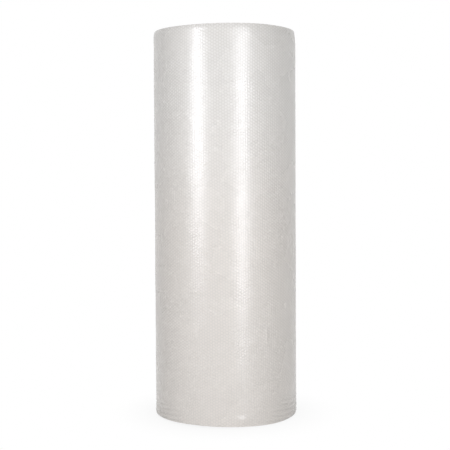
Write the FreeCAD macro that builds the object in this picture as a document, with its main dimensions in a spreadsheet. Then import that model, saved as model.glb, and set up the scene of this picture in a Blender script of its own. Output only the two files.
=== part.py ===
import FreeCAD, Part
import math
import os

import Sketcher

# A tall roll of bubble film, standing on its end, in millimetres.
# +Z is up, the origin is the middle of the foot, and the film's tail lies at the back, at +Y.
# The whole winding is one piece of film, so it is one solid: a spiral space runs between its turns.
# One turn of the solid stands for a few layers of film, and its last half turn thins out to a single layer.

# name, size, meaning
SIZES = [
    ("roll_height", 1500.0, "width of the film, which is the height of the standing roll"),
    ("roll_diameter", 565.0, "across the last turn"),
    ("shaft_hole", 76.0, "diameter of the hole that the winding shaft left"),
    ("first_wraps", 8.0, "least wall of the first wraps, which cling together round the shaft hole"),
    ("film_layer", 3.9, "thickness of one layer of bubbles, which is the step where the film ends"),
    ("layers_per_turn", 3, "layers of film that one turn of the solid stands for"),
    ("turn_gap", 1.2, "width of the space between two turns"),
    ("tail_cling", 60.0, "length of the tail that clings to the turn below it"),
    ("top_rim", 7.0, "how far the upper edge is drawn in"),
    ("top_taper", 26.0, "height over which the upper edge is drawn in"),
    ("foot_rim", 13.0, "how far the lower edge is drawn in, which the roll's weight has pressed"),
    ("foot_taper", 24.0, "height over which the lower edge is drawn in"),
    ("overrun", 5.0, "how far a cutting body passes the faces it cuts"),
]


def make_sheet(doc):
    """The driving sizes, one row each, with the value under an alias."""
    sheet = doc.addObject("Spreadsheet::Sheet", "Sizes")
    for row, (name, size, meaning) in enumerate(SIZES, start=1):
        sheet.set("A%d" % row, name)
        sheet.set("B%d" % row, str(size))
        sheet.set("C%d" % row, meaning)
        sheet.setAlias("B%d" % row, name)
    doc.recompute()
    return sheet


def origin_plane(body, role):
    """One of the body's own origin planes."""
    return next(feature for feature in body.Origin.OriginFeatures if feature.Role == role)


def half_section(body, name, radius_of, centre_of):
    """The roll's outline on one side of its axis, with both rims drawn in. radius_of and centre_of are
    the expressions of its radius and of its axis along Y."""
    sketch = body.newObject("Sketcher::SketchObject", name)
    sketch.AttachmentSupport = [(origin_plane(body, "YZ_Plane"), "")]
    sketch.MapMode = "FlatFace"
    sketch.setExpression("AttachmentOffset.Base.x", centre_of)
    sketch.setExpression("AttachmentOffset.Base.z", "-Sizes.film_layer / 4")

    def line(start_across, start_up, end_across, end_up):
        start = FreeCAD.Vector(start_across, start_up, 0)
        return sketch.addGeometry(Part.LineSegment(start, FreeCAD.Vector(end_across, end_up, 0)))

    # a first layout with the right order of points, which the constraints then size
    wide, tall, cut = 200.0, 1000.0, 10.0
    foot = line(0, 0, wide - cut, 0)
    foot_slope = line(wide - cut, 0, wide, cut)
    side = line(wide, cut, wide, tall - cut)
    top_slope = line(wide, tall - cut, wide - cut, tall)
    top = line(wide - cut, tall, 0, tall)
    axis = line(0, tall, 0, 0)

    first, last, origin = 1, 2, -1
    outline = [foot, foot_slope, side, top_slope, top, axis]
    for edge, next_edge in zip(outline, outline[1:] + outline[:1]):
        sketch.addConstraint(Sketcher.Constraint("Coincident", edge, last, next_edge, first))
    sketch.addConstraint(
        [
            Sketcher.Constraint("Coincident", foot, first, origin, 1),
            Sketcher.Constraint("Horizontal", foot),
            Sketcher.Constraint("Horizontal", top),
            Sketcher.Constraint("Vertical", side),
            Sketcher.Constraint("Vertical", axis),
        ]
    )
    sizes = {
        "radius": (Sketcher.Constraint("DistanceX", origin, 1, side, first, wide), radius_of),
        "height": (Sketcher.Constraint("DistanceY", axis, last, axis, first, tall), "Sizes.roll_height"),
        "foot_rim": (
            Sketcher.Constraint("DistanceX", foot_slope, first, foot_slope, last, cut),
            "Sizes.foot_rim",
        ),
        "foot_taper": (
            Sketcher.Constraint("DistanceY", foot_slope, first, foot_slope, last, cut),
            "Sizes.foot_taper",
        ),
        "top_rim": (
            Sketcher.Constraint("DistanceX", top_slope, last, top_slope, first, cut),
            "Sizes.top_rim",
        ),
        "top_taper": (
            Sketcher.Constraint("DistanceY", top_slope, first, top_slope, last, cut),
            "Sizes.top_taper",
        ),
    }
    for constraint_name, (constraint, value) in sizes.items():
        index = sketch.addConstraint(constraint)
        sketch.renameConstraint(index, constraint_name)
        sketch.setExpression("Constraints." + constraint_name, value)
    return sketch


def half_roll(body, name, sketch, turned_back):
    """Half a turn of the outline about its own axis."""
    half = body.newObject("PartDesign::Revolution", name)
    half.Profile = sketch
    half.ReferenceAxis = (sketch, ["V_Axis"])
    half.Angle = 180.0
    half.Reversed = turned_back
    return half


def make_blank(doc):
    """The roll's outer form. Its two halves have axes half a layer apart, so that the surface is one turn
    of a spiral: it runs smoothly round the front and ends in the tail's step at the back."""
    body = doc.addObject("PartDesign::Body", "Blank")
    last_half = half_section(body, "LastHalfSection", "Sizes.roll_diameter / 2", "0 mm")
    half_roll(body, "LastHalf", last_half, True)
    earlier_half = half_section(
        body,
        "EarlierHalfSection",
        "Sizes.roll_diameter / 2 - Sizes.film_layer / 2",
        "-Sizes.film_layer / 2",
    )
    half_roll(body, "EarlierHalf", earlier_half, False)
    doc.recompute()

    hole_sketch = body.newObject("Sketcher::SketchObject", "ShaftHoleSketch")
    hole_sketch.AttachmentSupport = [(origin_plane(body, "XY_Plane"), "")]
    hole_sketch.MapMode = "FlatFace"
    hole = hole_sketch.addGeometry(Part.Circle(FreeCAD.Vector(0, 0, 0), FreeCAD.Vector(0, 0, 1), 30.0))
    hole_sketch.addConstraint(Sketcher.Constraint("Coincident", hole, 3, -1, 1))
    size = hole_sketch.addConstraint(Sketcher.Constraint("Diameter", hole, 60.0))
    hole_sketch.renameConstraint(size, "shaft_hole")
    hole_sketch.setExpression("Constraints.shaft_hole", "Sizes.shaft_hole")

    shaft_hole = body.newObject("PartDesign::Pocket", "ShaftHole")
    shaft_hole.Profile = hole_sketch
    shaft_hole.Type = "ThroughAll"
    shaft_hole.Reversed = True
    body.Tip = shaft_hole
    doc.recompute()
    return body


def make_turn_space(doc, sheet):
    """The space between the turns, as one solid that winds from the first wraps out to the tail.

    It is a chain of half-turn arcs. Their centres lie on one line along Y and move by as much as the
    radius shrinks, so each arc runs smoothly into the next, and the outermost ones are the surface."""
    layer = sheet.get("film_layer")
    gap = sheet.get("turn_gap")
    outer = sheet.get("roll_diameter") / 2
    innermost = sheet.get("shaft_hole") / 2 + sheet.get("first_wraps")
    overrun = sheet.get("overrun")
    line_x = -layer / 4  # where the two halves of the outline meet
    surface = outer - layer / 2  # radius of the half turn just before the last
    spacing = sheet.get("layers_per_turn") * layer
    turns = int((surface - innermost) / spacing)
    shrink = spacing / 2  # how much the radius falls in half a turn

    inward = []
    outward = []
    up = FreeCAD.Vector(0, 0, 1)
    for number in range(1, 2 * turns + 1):
        on_tail_side = number % 2 == 1
        radius = surface - number * shrink
        centre = FreeCAD.Vector(line_x, -layer / 2 + (shrink if on_tail_side else 0), -overrun)
        start = -math.pi / 2 if on_tail_side else math.pi / 2
        end = start + math.pi
        if number == 1:
            end -= sheet.get("tail_cling") / radius
        inward.append(Part.ArcOfCircle(Part.Circle(centre, up, radius), start, end).toShape())
        outward.append(Part.ArcOfCircle(Part.Circle(centre, up, radius + gap), start, end).toShape())

    def closing(inner_arc, outer_arc, end):
        return Part.makeLine(inner_arc.valueAt(end(inner_arc)), outer_arc.valueAt(end(outer_arc)))

    tail_end = closing(inward[0], outward[0], lambda arc: arc.LastParameter)
    shaft_end = closing(inward[-1], outward[-1], lambda arc: arc.FirstParameter)
    outline = Part.Wire(inward + [shaft_end] + outward[::-1] + [tail_end])

    space = doc.addObject("Part::Feature", "TurnSpace")
    tall = sheet.get("roll_height") + 2 * overrun
    space.Shape = Part.Face(outline).extrude(FreeCAD.Vector(0, 0, tall))
    return space


def check(doc, parts):
    """Stops with a plain message if anything in the document or any finished piece is broken."""
    for item in doc.Objects:
        if "Invalid" in item.State or "Error" in item.State:
            raise RuntimeError("%s did not build: %s" % (item.Name, item.State))
    for part in parts:
        if part.Shape.isNull() or not part.Shape.isValid() or len(part.Shape.Solids) != 1:
            raise RuntimeError("%s is not one sound solid" % part.Label)


def main():
    doc = FreeCAD.newDocument("BubbleFilmRoll")
    sheet = make_sheet(doc)
    blank = make_blank(doc)
    turn_space = make_turn_space(doc, sheet)

    winding = doc.addObject("Part::Cut", "Winding")
    winding.Label = "wound_bubble_film"
    winding.Base = blank
    winding.Tool = turn_space
    doc.recompute()

    parts = [winding]
    check(doc, parts)
    os.makedirs("parts", exist_ok=True)
    for part in parts:
        part.Shape.exportStep("parts/%s.step" % part.Label)
        box = part.Shape.BoundBox
        print(
            "%s: %.6f m3, %.1f by %.1f by %.1f mm"
            % (part.Label, part.Shape.Volume / 1e9, box.XLength, box.YLength, box.ZLength)
        )


main()
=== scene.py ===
"""The looks of a standing roll of bubble film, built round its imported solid, in metres."""

import math

import bmesh
import bpy
from bpy.props import FloatProperty, IntProperty, PointerProperty, StringProperty
from mathutils import Matrix, Vector, noise


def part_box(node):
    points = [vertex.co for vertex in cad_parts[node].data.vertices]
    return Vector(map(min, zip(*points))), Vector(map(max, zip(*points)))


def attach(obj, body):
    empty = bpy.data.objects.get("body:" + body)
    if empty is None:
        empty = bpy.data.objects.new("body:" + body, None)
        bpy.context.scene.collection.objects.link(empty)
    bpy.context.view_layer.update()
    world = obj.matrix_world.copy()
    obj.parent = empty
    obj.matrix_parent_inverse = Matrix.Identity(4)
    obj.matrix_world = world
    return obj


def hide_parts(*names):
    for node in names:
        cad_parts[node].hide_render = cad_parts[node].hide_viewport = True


bl_info = {
    "name": "Bubble Film Roll",
    "version": (1, 0, 0),
    "blender": (4, 5, 0),
    "location": "3D View > Sidebar > Film Roll",
    "description": "Builds a standing roll of bubble film round its packed solid",
    "category": "Object",
}

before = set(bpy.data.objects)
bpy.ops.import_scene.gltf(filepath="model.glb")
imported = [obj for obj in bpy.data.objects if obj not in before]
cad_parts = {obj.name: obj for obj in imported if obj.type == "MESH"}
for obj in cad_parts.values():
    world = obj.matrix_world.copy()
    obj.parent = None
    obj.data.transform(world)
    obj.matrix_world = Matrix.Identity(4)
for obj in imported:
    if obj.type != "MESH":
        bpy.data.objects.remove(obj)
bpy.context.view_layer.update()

SOLID = "wound_bubble_film"
MM = 0.001
LOW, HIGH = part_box(SOLID)
HEIGHT = HIGH[2] - LOW[2]
RADIUS = HIGH[1]
FRONT = -math.pi / 2  # the azimuth that faces the camera, where +X is azimuth 0
BACK = math.pi / 2  # the azimuth of the film's tail
FOLDED = 0.12  # the height over which the foot is folded and puckered
PANEL_AWAY = 3.6  # from the roll's axis to an upright light panel


# Settings


class FilmRollSizes(bpy.types.PropertyGroup):
    """Sizes of the film and of its winding"""

    layer: FloatProperty(
        name="Layer",
        description="Thickness of one layer of bubbles",
        default=3.9 * MM,
        subtype="DISTANCE",
    )
    bubble_pitch: FloatProperty(
        name="Bubble pitch",
        description="From one bubble to the next",
        default=11.4 * MM,
        subtype="DISTANCE",
    )
    bubble_width: FloatProperty(
        name="Bubble width",
        description="Width of the raised part of a bubble",
        default=8.4 * MM,
        subtype="DISTANCE",
    )
    dome: FloatProperty(
        name="Dome",
        description="How far a bubble pushes the flat film out",
        default=0.6 * MM,
        subtype="DISTANCE",
    )
    shoulder: FloatProperty(
        name="Shoulder",
        description="Height of a dome's edge, as a part of the dome",
        default=0.66,
        subtype="FACTOR",
    )
    film_wall: FloatProperty(
        name="Film wall",
        description="Depth of the last turn, domes and all",
        default=3.5 * MM,
        subtype="DISTANCE",
    )
    shaft_hole: FloatProperty(
        name="Shaft hole",
        description="Radius of the hole in the winding",
        default=38 * MM,
        subtype="DISTANCE",
    )
    layers: IntProperty(name="Layers", description="Layers of film under the last turn", default=60)
    steps: IntProperty(name="Steps", description="Faces round one turn at the roll's ends", default=400)
    bands: IntProperty(name="Bands", description="Parts that the last turn is made in", default=3)


class FilmRollColours(bpy.types.PropertyGroup):
    """Colours as sRGB hex values"""

    film: StringProperty(name="Film", description="Film over a bubble", default="#DFDDD9")
    web: StringProperty(name="Web", description="Film between the bubbles", default="#CBC8C2")
    # painted shade: the film drawn darker and warmer towards the foot
    shaded_low_film: StringProperty(name="Low film", description="Film near the foot", default="#DAD4CD")
    edge: StringProperty(name="Cut edge", description="Cut edges of the film at both ends", default="#E6E4E1")
    floor: StringProperty(name="Floor", description="Floor and backdrop", default="#F2F2F2")


def linear(code):
    """A linear colour with alpha, from an sRGB hex value."""
    parts = [int(code[i : i + 2], 16) / 255 for i in (1, 3, 5)]
    return [c / 12.92 if c <= 0.04045 else ((c + 0.055) / 1.055) ** 2.4 for c in parts] + [1.0]


def mix(low, high, share):
    return low + (high - low) * share


def held(value):
    """value, kept between 0 and 1."""
    return min(max(value, 0.0), 1.0)


def smooth(value):
    """An even rise from 0 to 1."""
    value = held(value)
    return value * value * (3 - 2 * value)


# The winding: flat film, and the roll that it makes


def round_turn(sizes, along, inset):
    """Plan position of film that lies inset under the last turn, along being 0 at the foot of the tail's
    step and 1 at the tail. The turn is two half circles whose axes lie half a layer apart."""
    last_half = along > 0.5
    centre_y = 0.0 if last_half else -sizes.layer / 2
    radius = (RADIUS if last_half else RADIUS - sizes.layer / 2) - inset
    angle = BACK + math.tau * along
    return -sizes.layer / 4 + radius * math.cos(angle), centre_y + radius * math.sin(angle)


def rim_draw(angle, up):
    """How far the roll's edges are drawn in. They are softest on the right."""
    right = (0.5 + 0.5 * math.cos(angle - math.radians(5))) ** 3
    top_tall = mix(20 * MM, 60 * MM, right)
    foot_tall = mix(14 * MM, 30 * MM, right)
    top = held((up - (HEIGHT - top_tall)) / top_tall)
    foot = held((foot_tall - up) / foot_tall)
    return mix(3 * MM, 5 * MM, right) * top**2 + mix(0.8 * MM, 2.4 * MM, right) * foot**2


def squash(angle, up):
    """Folds that run round the roll just above its foot, where its weight has buckled the last turns."""
    place = 0.0
    for middle, spread, top, deep in (
        (math.radians(-24), math.radians(40), 110 * MM, 3.0 * MM),
        (math.radians(-156), math.radians(36), 90 * MM, 2.8 * MM),
        (math.radians(110), math.radians(46), 90 * MM, 1.5 * MM),
    ):
        away = (angle - middle + math.pi) % math.tau - math.pi
        share = smooth(1 - abs(away) / spread) * smooth(1 - up / top)
        rise = up + 12 * MM * math.cos(away * 2.2)
        place += deep * share * math.sin(math.tau * rise / (19 * MM))
    return place


def pleats(angle, up):
    """Short upright puckers where the film's lower edge turns under."""
    share = smooth(1 - up / (26 * MM)) * (0.4 + 0.6 * noise.noise(Vector((angle * 3, 0, 7.3))))
    return 0.8 * MM * share * math.sin(angle * RADIUS / (1.9 * MM))


def slack(x, y, up):
    """Slow waves where the film is wound a little looser or tighter."""
    broad = noise.noise(Vector((x, y, up * 0.45)) / 0.11)
    small = noise.noise(Vector((x + 3.0, y, up * 0.8)) / 0.045)
    return 0.75 * MM * broad + 0.32 * MM * small


def crease(angle, up):
    """One short upright crease in the last turn, low on the right of the front."""
    away = (angle - FRONT - math.radians(33.5)) * RADIUS
    reach = smooth((1 - abs(up - 338 * MM) / (34 * MM)) * 3)
    return 1.6 * MM * reach * math.exp(-((away / (4.5 * MM)) ** 2))


def bulge(angle, up):
    """A small bulge just above the foot, right of the front's middle, where the film sags over the rim."""
    away = (angle - FRONT - math.radians(12)) * RADIUS / (36 * MM)
    return 2.6 * MM * math.exp(-(away**2)) * math.exp(-(((up - 27 * MM) / (13 * MM)) ** 2))


def settle(point):
    """Where a point of the even roll comes to lie in the real one. Its outer turns give and its inner ones
    hold, its weight makes it a little wider below, and its ends aren't quite level left of the front."""
    x, y, up = point
    radius = math.hypot(x, y)
    angle = math.atan2(y, x)
    give = (radius / RADIUS) ** 9
    away = abs((angle - FRONT + math.radians(28) + math.pi) % math.tau - math.pi)
    out = slack(x, y, up) + crease(angle, up)
    if up < FOLDED:
        out += squash(angle, up) + pleats(angle, up) + bulge(angle, up)
    out -= rim_draw(angle, up) + 1.0 * MM + 2.3 * MM * up / HEIGHT
    scale = 1 + out * give / radius
    up += 6.4 * MM * smooth(1 - away / math.radians(80)) * smooth(1 - up / 0.2)
    up -= 2.8 * MM * smooth(1 - away / math.radians(58)) * smooth(1 - (HEIGHT - up) / 0.2)
    return Vector((x * scale, y * scale, up))


# Making meshes


def make_piece(bm, name, material):
    """A finished object at the origin, which rides on the roll's one body and stands for its solid."""
    bmesh.ops.recalc_face_normals(bm, faces=bm.faces[:])
    mesh = bpy.data.meshes.new(name)
    bm.to_mesh(mesh)
    bm.free()
    piece = bpy.data.objects.new(name, mesh)
    bpy.context.collection.objects.link(piece)
    mesh.materials.append(material)
    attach(piece, "root")
    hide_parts(SOLID)
    return piece


def add_copy(bm, step):
    """Adds a copy of all that there is, a step further on."""
    copied = bmesh.ops.duplicate(bm, geom=bm.verts[:] + bm.edges[:] + bm.faces[:])["geom"]
    bmesh.ops.translate(bm, vec=step, verts=[item for item in copied if isinstance(item, bmesh.types.BMVert)])


def repeat(bm, count, step):
    """Lays at least count copies of all that there is in a row, by doubling the row where it can."""
    doublings = max(0, int(math.log2(count / 6)))
    run = math.ceil(count / 2**doublings)
    unit = bm.verts[:] + bm.edges[:] + bm.faces[:]
    for place in range(1, run):
        copied = bmesh.ops.duplicate(bm, geom=unit)["geom"]
        verts = [item for item in copied if isinstance(item, bmesh.types.BMVert)]
        bmesh.ops.translate(bm, vec=Vector(step) * place, verts=verts)
    for doubling in range(doublings):
        add_copy(bm, Vector(step) * run * 2**doubling)


def bubble_sheet(sizes, low, high, length):
    """Flat film between two heights, X along the film and Y across it, with bubbles in staggered columns."""
    pitch = sizes.bubble_pitch
    columns = round(length / (pitch * math.sqrt(3) / 2))
    spacing = length / columns
    bm = bmesh.new()
    dome = bm.verts.layers.float.new("dome")
    turned = Matrix.Rotation(math.pi / 6, 4, "Z")
    cell = bmesh.ops.create_circle(bm, cap_ends=True, segments=6, radius=pitch / math.sqrt(3), matrix=turned)
    corners = set(cell["verts"])
    inset = pitch / 2 - sizes.bubble_width / 2
    bmesh.ops.inset_individual(bm, faces=bm.faces[:], thickness=inset, depth=sizes.dome * sizes.shoulder)
    cap = next(face for face in bm.faces if not corners & set(face.verts))
    bmesh.ops.poke(bm, faces=[cap], offset=sizes.dome * (1 - sizes.shoulder))
    for vert in bm.verts:
        vert[dome] = vert.co.z / sizes.dome
    bmesh.ops.scale(bm, vec=(spacing / (pitch * math.sqrt(3) / 2), 1, 1), verts=bm.verts[:])

    first_row = math.floor(low / pitch) - 1
    rows = math.ceil(high / pitch) + 1 - first_row
    bmesh.ops.translate(bm, vec=(0, (first_row + 0.5) * pitch, 0), verts=bm.verts[:])
    add_copy(bm, (spacing, pitch / 2, 0))
    repeat(bm, rows, (0, pitch, 0))
    repeat(bm, columns // 2 + 1, (2 * spacing, 0, 0))
    bmesh.ops.remove_doubles(bm, verts=bm.verts[:], dist=pitch / 50)
    sides = (
        ((0, low, 0), (0, -1, 0)),
        ((0, high, 0), (0, 1, 0)),
        ((0, 0, 0), (-1, 0, 0)),
        ((length, 0, 0), (1, 0, 0)),
    )
    for place, outward in sides:
        everything = bm.verts[:] + bm.edges[:] + bm.faces[:]
        bmesh.ops.bisect_plane(
            bm, geom=everything, dist=pitch / 200, plane_co=place, plane_no=outward, clear_outer=True
        )
    return bm


def close_back(bm, depth, length, strips):
    """Gives flat film its depth: walls down from its border, and a back in upright strips that can bend."""
    for face in bm.faces:
        face.smooth = True
    border = [edge for edge in bm.edges if edge.is_boundary]
    walls = bmesh.ops.extrude_edge_only(bm, edges=border)["geom"]
    for edge in border:
        edge.smooth = False
    for item in walls:
        if isinstance(item, bmesh.types.BMVert):
            item.co.z = -depth
        elif isinstance(item, bmesh.types.BMFace):
            item.smooth = False
    rim = [edge for edge in bm.edges if edge.is_boundary]
    back = bmesh.ops.contextual_create(bm, geom=rim)["faces"]
    for face in back:
        face.smooth = False
    for edge in rim:
        edge.smooth = False
    for strip in range(1, strips):
        parts = list(back) + list({edge for face in back for edge in face.edges})
        parts += list({vert for face in back for vert in face.verts})
        cut = bmesh.ops.bisect_plane(
            bm, geom=parts, dist=1e-6, plane_co=(length * strip / strips, 0, 0), plane_no=(1, 0, 0)
        )["geom"]
        faces = {item for item in cut if isinstance(item, bmesh.types.BMFace)}
        back = [face for face in faces if face.calc_center_median().x > length * strip / strips]


def make_outer_turn(sizes, material):
    """The last turn of film, flat side out, in bands one above the other."""
    length = math.tau * (RADIUS - sizes.layer / 4)
    names = ["outer_turn_foot"] + ["outer_turn_middle"] * (sizes.bands - 2) + ["outer_turn_top"]
    noise.seed_set(1)  # without a seed noise_vector differs from run to run
    for band in range(sizes.bands):
        low, high = HEIGHT * band / sizes.bands, HEIGHT * (band + 1) / sizes.bands
        bm = bubble_sheet(sizes, low, high, length)
        close_back(bm, sizes.film_wall - sizes.dome, length, 72)
        fold_shade = bm.verts.layers.float.new("fold_shade")
        for vert in bm.verts:
            run, up, lift = vert.co
            free = smooth(min(run, length - run, up, HEIGHT - up) / 0.06)
            if lift > 0:
                place = Vector((run, up, 0.0))
                lift *= 0.8 + 0.3 * noise.noise(place / 0.06) + 0.5 * noise.noise(place / 0.008)
                lift *= mix(0.68, 1.0, smooth(up / 0.5))  # the roll's weight has pressed the lower bubbles
            drift = noise.noise_vector(Vector((run, up, 5.0)) / 0.09) * 3 * MM * free
            x, y = round_turn(sizes, (run + drift.x) / length, sizes.dome - lift)
            # painted shade: how deep a point lies in a fold's hollow, for darkening the film there
            if up < FOLDED:
                vert[fold_shade] = held(-squash(math.atan2(y, x), up) / (1.4 * MM))
            vert.co = settle((x, y, up + drift.y))
        make_piece(bm, names[band], material)


def end_profile(sizes):
    """One layer after another across the roll's end, from the outside in: inset, drop, layer and kind of each
    line of its surface. A layer is the flat film's cut edge, and a hollow where bubbles were cut through."""
    lines = []
    for layer in range(1, sizes.layers + 1):
        inset = layer * sizes.layer
        lines.append((inset, 0.0, layer, "edge"))
        lines.append((inset + 1.1 * MM, 0.4 * MM, layer, "edge"))
        lines.append((inset + 2.3 * MM, 2.8 * MM, layer, "hollow"))
    return lines


def film_wander(turns_in):
    """How far the film's edge has wandered below the roll's end, by turns from the tail."""
    slow = 0.5 + 0.5 * noise.noise(Vector((turns_in * 0.23, 4.1, 0)))
    quick = 0.5 + 0.5 * noise.noise(Vector((turns_in * 1.7, 9.7, 0)))
    return 2.2 * MM * slow + 1.3 * MM * quick


def make_winding(sizes, name, material, end):
    """Half of the winding under the last turn, end being +1 at the top and -1 at the foot."""
    bm = bmesh.new()
    lit = bm.verts.layers.float.new("dome")
    lines = end_profile(sizes)
    chain = []
    for inset, drop, _, _ in lines:
        chain.append(bm.verts.new((0, inset, drop)))
    edges = [bm.edges.new(pair) for pair in zip(chain, chain[1:])]
    order = {round(vert.co.y, 6): line for vert, line in zip(chain, lines)}
    # a straight run of steps, which is bent round the roll below
    bmesh.ops.spin(
        bm, geom=chain + edges, cent=(0, 0, 0), axis=(0, 0, 1), angle=0,
        dvec=(1 / sizes.steps, 0, 0), steps=sizes.steps
    )
    for vert in bm.verts:
        along, inset, drop = vert.co
        layer, kind = order[round(inset, 6)][2:]
        turns_in = layer + 1 - along
        arc = math.tau * turns_in * (RADIUS - turns_in * sizes.layer / 2)
        phase = 9 * noise.noise(Vector((turns_in * 0.9, 2.3, 0)))
        bubble = 0.5 + 0.5 * math.cos(math.tau * arc / (sizes.bubble_pitch * math.sqrt(3)) + phase)
        bubble *= held((sizes.layers + 1 - turns_in) / 6)
        if kind == "hollow":
            gap = smooth(min(along, 1 - along) * 12) if layer % 3 == 0 else 0.0
            drop = mix(drop, 9.0 * MM, gap) * (0.45 + 0.75 * bubble)
            inset += 0.3 * MM * gap - 0.5 * MM * bubble
        else:
            inset += 0.25 * MM * bubble
        # painted shade: the hollows get 0 here, which the edge material draws darker
        vert[lit] = 1.0 if kind == "edge" else 0.0
        x, y = round_turn(sizes, along, inset)
        drop += film_wander(turns_in)
        vert.co = (x, y, HEIGHT - drop if end > 0 else drop * 0.6)
    bmesh.ops.remove_doubles(bm, verts=bm.verts[:], dist=0.05 * MM)

    border = [edge for edge in bm.edges if edge.is_boundary]
    inner = [edge for edge in border if max(v.co.xy.length for v in edge.verts) < RADIUS / 2]
    outer = [edge for edge in border if edge not in set(inner)]
    middle = HEIGHT / 2
    inner_loop = extend(bm, inner, sizes.shaft_hole, None)
    inner_loop = extend(bm, inner_loop, sizes.shaft_hole, middle)
    core = RADIUS - 2.5 * sizes.layer
    outer_loop = extend(bm, outer, core, middle + end * (HEIGHT / 2 - 60 * MM))
    outer_loop = extend(bm, outer_loop, core, middle)
    bmesh.ops.remove_doubles(bm, verts=bm.verts[:], dist=0.01 * MM)
    rims = [edge for edge in bm.edges if edge.is_boundary]
    bmesh.ops.bridge_loops(bm, edges=rims)
    for vert in bm.verts:
        vert.co = settle(vert.co)
    for face in bm.faces:
        face.smooth = False
    make_piece(bm, name, material)


def extend(bm, loop, radius, up):
    """Extrudes a border loop to a circle round the axis. up is its height, or None to keep each point's."""
    grown = bmesh.ops.extrude_edge_only(bm, edges=loop)["geom"]
    for item in grown:
        if isinstance(item, bmesh.types.BMVert):
            flat = item.co.xy.normalized() * radius
            item.co = (flat.x, flat.y, item.co.z if up is None else up)
    return [item for item in grown if isinstance(item, bmesh.types.BMEdge) and item.is_boundary]


# Materials


def add_node(tree, kind, settings=None, **inputs):
    """Adds a node. settings are its own properties; each input is a value or a socket to link from."""
    node = tree.nodes.new(kind)
    for name, value in (settings or {}).items():
        setattr(node, name, value)
    for name, value in inputs.items():
        socket = node.inputs[int(name[1:])] if name[1:].isdigit() else node.inputs[name.replace("_", " ")]
        if isinstance(value, bpy.types.NodeSocket):
            tree.links.new(value, socket)
        else:
            socket.default_value = value
    return node


def new_material(name):
    """An empty node tree with its output."""
    material = bpy.data.materials.new(name)
    material.use_nodes = True
    material.node_tree.nodes.clear()
    return material, material.node_tree


def per_mm(size):
    """The Scale of a noise texture with features size millimetres wide, on Object coordinates in metres."""
    return 1 / (size * MM)


def film_material(colours):
    """Blown polyethylene film over air, many layers deep: milky, soft-glossy, a little darker where the two
    films are welded together between the bubbles, with faint lines that run along the film, and with painted
    shade: darker and warmer towards the foot, and darker in the hollows of the folds there."""
    material, tree = new_material("blown_polyethylene_film")
    place = add_node(tree, "ShaderNodeTexCoord").outputs["Object"]
    dome = add_node(tree, "ShaderNodeAttribute", {"attribute_name": "dome"}).outputs["Fac"]
    height = add_node(tree, "ShaderNodeSeparateXYZ", Vector=place).outputs["Z"]
    # painted shade: from nine tenths of the height down, the film is drawn darker and warmer, fully so below
    # four tenths
    low_shade_share = add_node(
        tree, "ShaderNodeMapRange", {"interpolation_type": "SMOOTHSTEP"},
        Value=height, _1=HEIGHT * 0.9, _2=HEIGHT * 0.4
    ).outputs[0]
    over_bubble = add_node(
        tree, "ShaderNodeMix", {"data_type": "RGBA"},
        _0=low_shade_share, _6=linear(colours.film), _7=linear(colours.shaded_low_film)
    ).outputs[2]
    welded = add_node(
        tree, "ShaderNodeMix", {"data_type": "RGBA"}, _0=dome, _6=linear(colours.web), _7=over_bubble
    ).outputs[2]
    # the film is drawn round the roll, so its faint lines are level rings, a few millimetres apart
    ring_place = add_node(tree, "ShaderNodeMapping", Vector=place, Scale=(0.03, 0.03, 1.0)).outputs[0]
    rings = add_node(
        tree, "ShaderNodeTexNoise", Vector=ring_place, Scale=per_mm(7), Detail=2.0, Roughness=0.6
    ).outputs["Fac"]
    patches = add_node(
        tree, "ShaderNodeTexNoise", Vector=place, Scale=per_mm(140), Detail=3.0
    ).outputs["Fac"]
    times_add = {"operation": "MULTIPLY_ADD"}
    shade = add_node(tree, "ShaderNodeMath", times_add, _0=rings, _1=0.05, _2=0.945).outputs[0]
    shade = add_node(tree, "ShaderNodeMath", times_add, _0=patches, _1=0.06, _2=shade).outputs[0]
    # painted shade: the film is drawn darker in the hollows of the folds at the foot
    fold_shade = add_node(tree, "ShaderNodeAttribute", {"attribute_name": "fold_shade"}).outputs["Fac"]
    shade = add_node(tree, "ShaderNodeMath", times_add, _0=fold_shade, _1=-0.12, _2=shade).outputs[0]
    colour = add_node(tree, "ShaderNodeVectorMath", {"operation": "SCALE"}, _0=welded, Scale=shade).outputs[0]
    gloss = add_node(tree, "ShaderNodeMapRange", Value=patches, _1=0.3, _2=0.7, _3=0.23, _4=0.31).outputs[0]
    # fine slack in the film itself, a few millimetres across
    fine = add_node(tree, "ShaderNodeTexNoise", Vector=place, Scale=per_mm(5), Detail=2.0).outputs["Fac"]
    bump = add_node(tree, "ShaderNodeBump", Strength=0.25, Distance=0.0003, Height=fine).outputs[0]
    shader = add_node(
        tree, "ShaderNodeBsdfPrincipled", Base_Color=colour, Roughness=gloss, IOR=1.5, Specular_IOR_Level=0.7,
        Coat_Weight=0.28, Coat_Roughness=0.14, Normal=bump
    ).outputs[0]
    add_node(tree, "ShaderNodeOutputMaterial", Surface=shader)
    return material


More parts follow.
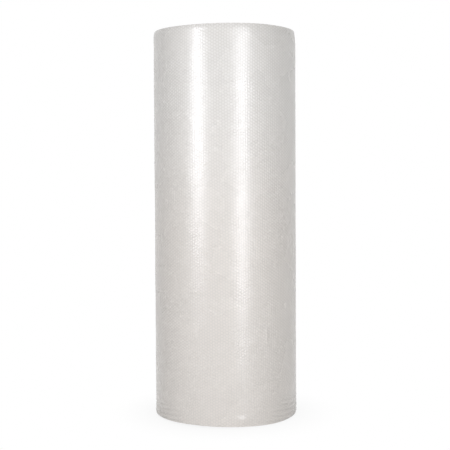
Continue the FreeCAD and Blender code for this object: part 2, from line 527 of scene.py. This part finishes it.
def edge_material(colours):
    """The cut edges of many layers of the same film, clear and bright at each edge, with painted shade: the
    hollows between the edges are drawn in the darker web colour.
    """
    material, tree = new_material("cut_polyethylene_edges")
    place = add_node(tree, "ShaderNodeTexCoord").outputs["Object"]
    dome = add_node(tree, "ShaderNodeAttribute", {"attribute_name": "dome"}).outputs["Fac"]
    # painted shade: the hollows take the darker web colour, the edges the brighter edge colour
    layers = add_node(
        tree, "ShaderNodeMix", {"data_type": "RGBA"},
        _0=dome, _6=linear(colours.web), _7=linear(colours.edge)
    ).outputs[2]
    specks = add_node(tree, "ShaderNodeTexNoise", Vector=place, Scale=per_mm(9), Detail=3.0).outputs["Fac"]
    shade = add_node(
        tree, "ShaderNodeMath", {"operation": "MULTIPLY_ADD"}, _0=specks, _1=0.16, _2=0.9
    ).outputs[0]
    colour = add_node(tree, "ShaderNodeVectorMath", {"operation": "SCALE"}, _0=layers, Scale=shade).outputs[0]
    gloss = add_node(tree, "ShaderNodeMapRange", Value=specks, _1=0.3, _2=0.7, _3=0.3, _4=0.48).outputs[0]
    shader = add_node(
        tree, "ShaderNodeBsdfPrincipled", Base_Color=colour, Roughness=gloss, IOR=1.5
    ).outputs[0]
    add_node(tree, "ShaderNodeOutputMaterial", Surface=shader)
    return material


# The stage


def seen_as_background(tree):
    """1 for rays that come from the camera, a reflection or a clear body, and 0 for light on the object."""
    path = add_node(tree, "ShaderNodeLightPath")
    share = add_node(
        tree, "ShaderNodeMath", {"operation": "MAXIMUM"}, _0=path.outputs["Is Camera Ray"],
        _1=path.outputs["Is Glossy Ray"],
    ).outputs[0]
    return add_node(
        tree, "ShaderNodeMath", {"operation": "MAXIMUM"}, _0=share, _1=path.outputs["Is Transmission Ray"]
    ).outputs[0]


def make_world(ambient):
    """White behind the object, and a softer, slightly warm light on it."""
    world = bpy.data.worlds.new("studio")
    bpy.context.scene.world = world
    world.use_nodes = True
    tree = world.node_tree
    tree.nodes.clear()
    warm = (ambient, ambient * 0.94, ambient * 0.82, 1)
    colour = add_node(
        tree, "ShaderNodeMix", {"data_type": "RGBA"}, _0=seen_as_background(tree), _6=warm, _7=(1, 1, 1, 1)
    ).outputs[2]
    light = add_node(tree, "ShaderNodeBackground", Color=colour).outputs[0]
    add_node(tree, "ShaderNodeOutputWorld", Surface=light)


def make_floor(colours):
    """A pale floor that runs out into the white background, with a soft shadow where the roll stands."""
    material, tree = new_material("pale_floor")
    shadow = add_node(
        tree, "ShaderNodeAmbientOcclusion", {"samples": 16}, Color=(1, 1, 1, 1), Distance=0.35
    ).outputs["AO"]
    level = add_node(tree, "ShaderNodeMapRange", Value=shadow, _1=0.35, _2=0.85, _3=0.9, _4=1.0).outputs[0]
    shown = add_node(tree, "ShaderNodeEmission", Color=(1, 1, 1, 1), Strength=level).outputs[0]
    lit = add_node(tree, "ShaderNodeBsdfDiffuse", Color=linear(colours.floor)).outputs[0]
    both = add_node(tree, "ShaderNodeMixShader", _0=seen_as_background(tree), _1=lit, _2=shown).outputs[0]
    add_node(tree, "ShaderNodeOutputMaterial", Surface=both)
    bm = bmesh.new()
    bmesh.ops.create_grid(bm, x_segments=1, y_segments=1, size=60)
    mesh = bpy.data.meshes.new("floor")
    bm.to_mesh(mesh)
    bm.free()
    floor = bpy.data.objects.new("floor", mesh)
    bpy.context.collection.objects.link(floor)
    mesh.materials.append(material)


def make_light(name, place, turn, wide, tall, radiance, mirrored=True):
    """A soft light panel. turn is its rotation in degrees, and radiance how bright it looks, 1 being white.
    One that isn't mirrored stands for light from all over its side, and leaves no highlight."""
    lamp = bpy.data.lights.new(name, "AREA")
    lamp.shape = "RECTANGLE"
    lamp.size = wide
    lamp.size_y = tall
    lamp.energy = radiance * math.pi * wide * tall
    lamp.color = linear("#F9FAFF")[:3]
    light = bpy.data.objects.new(name, lamp)
    light.location = place
    light.rotation_euler = [math.radians(part) for part in turn]
    light.visible_camera = False
    light.visible_glossy = mirrored
    bpy.context.collection.objects.link(light)


def make_side_light(name, azimuth, low, high, radiance):
    """An upright panel from one height to another, azimuth degrees to the right of the camera's side."""
    angle = math.radians(azimuth)
    place = (PANEL_AWAY * math.sin(angle), -PANEL_AWAY * math.cos(angle), (low + high) / 2)
    make_light(name, place, (90, 0, azimuth), 0.6, high - low, radiance)


def make_camera():
    """The photograph's view: from a little above the roll's middle, tipped down, with a long lens."""
    lens = bpy.data.cameras.new("camera")
    lens.sensor_width = 36.0
    lens.lens = 77.1
    camera = bpy.data.objects.new("camera", lens)
    camera.location = (0.0, -3.829, 0.937)
    camera.rotation_euler = (math.radians(90 - 2.874), math.radians(0.27), math.radians(0.01))
    bpy.context.collection.objects.link(camera)
    bpy.context.scene.camera = camera


# Operators


class FILMROLL_OT_outer_turn(bpy.types.Operator):
    """Makes the last turn of film, with its bubbles and its tail"""

    bl_idname = "filmroll.outer_turn"
    bl_label = "Last Turn of Film"

    def execute(self, context):
        make_outer_turn(context.scene.film_roll_sizes, film_material(context.scene.film_roll_colours))
        return {"FINISHED"}


class FILMROLL_OT_winding(bpy.types.Operator):
    """Makes the winding under the last turn, with its layers at both ends and its shaft hole"""

    bl_idname = "filmroll.winding"
    bl_label = "Winding"

    def execute(self, context):
        sizes = context.scene.film_roll_sizes
        material = edge_material(context.scene.film_roll_colours)
        make_winding(sizes, "winding_top", material, 1)
        make_winding(sizes, "winding_foot", material, -1)
        return {"FINISHED"}


class FILMROLL_OT_stage(bpy.types.Operator):
    """Makes the floor, the soft lights and the camera"""

    bl_idname = "filmroll.stage"
    bl_label = "Stage"

    def execute(self, context):
        make_world(ambient=0.122)
        make_floor(context.scene.film_roll_colours)
        make_side_light("left_panel", -42, 0.58, 2.6, 14.0)
        make_side_light("right_panel", 26, 0.05, 2.6, 10.8)
        make_light("top_panel", (-0.45, 0.8, 4.6), (0, 0, 0), 1.6, 2.4, 4.4)
        make_light("front_fill", (0.8, -3.7, 0.35), (90, 0, 12), 2.4, 0.7, 5.2, mirrored=False)
        make_camera()
        context.scene.view_settings.view_transform = "Standard"
        return {"FINISHED"}


class FILMROLL_PT_panel(bpy.types.Panel):
    """Lists the roll's settings and steps"""

    bl_idname = "FILMROLL_PT_panel"
    bl_label = "Bubble Film Roll"
    bl_space_type = "VIEW_3D"
    bl_region_type = "UI"
    bl_category = "Film Roll"

    def draw(self, context):
        for group in (context.scene.film_roll_sizes, context.scene.film_roll_colours):
            box = self.layout.box()
            for name in group.bl_rna.properties.keys():
                if name not in ("rna_type", "name"):
                    box.prop(group, name)
        for operator in OPERATORS:
            self.layout.operator(operator.bl_idname)


OPERATORS = (FILMROLL_OT_outer_turn, FILMROLL_OT_winding, FILMROLL_OT_stage)
CLASSES = (FilmRollSizes, FilmRollColours, *OPERATORS, FILMROLL_PT_panel)


def register():
    for item in CLASSES:
        bpy.utils.register_class(item)
    bpy.types.Scene.film_roll_sizes = PointerProperty(type=FilmRollSizes)
    bpy.types.Scene.film_roll_colours = PointerProperty(type=FilmRollColours)


def unregister():
    del bpy.types.Scene.film_roll_colours
    del bpy.types.Scene.film_roll_sizes
    for item in reversed(CLASSES):
        bpy.utils.unregister_class(item)


def main():
    register()
    bpy.ops.filmroll.outer_turn()
    bpy.ops.filmroll.winding()
    bpy.ops.filmroll.stage()


if __name__ == "__main__":
    main()
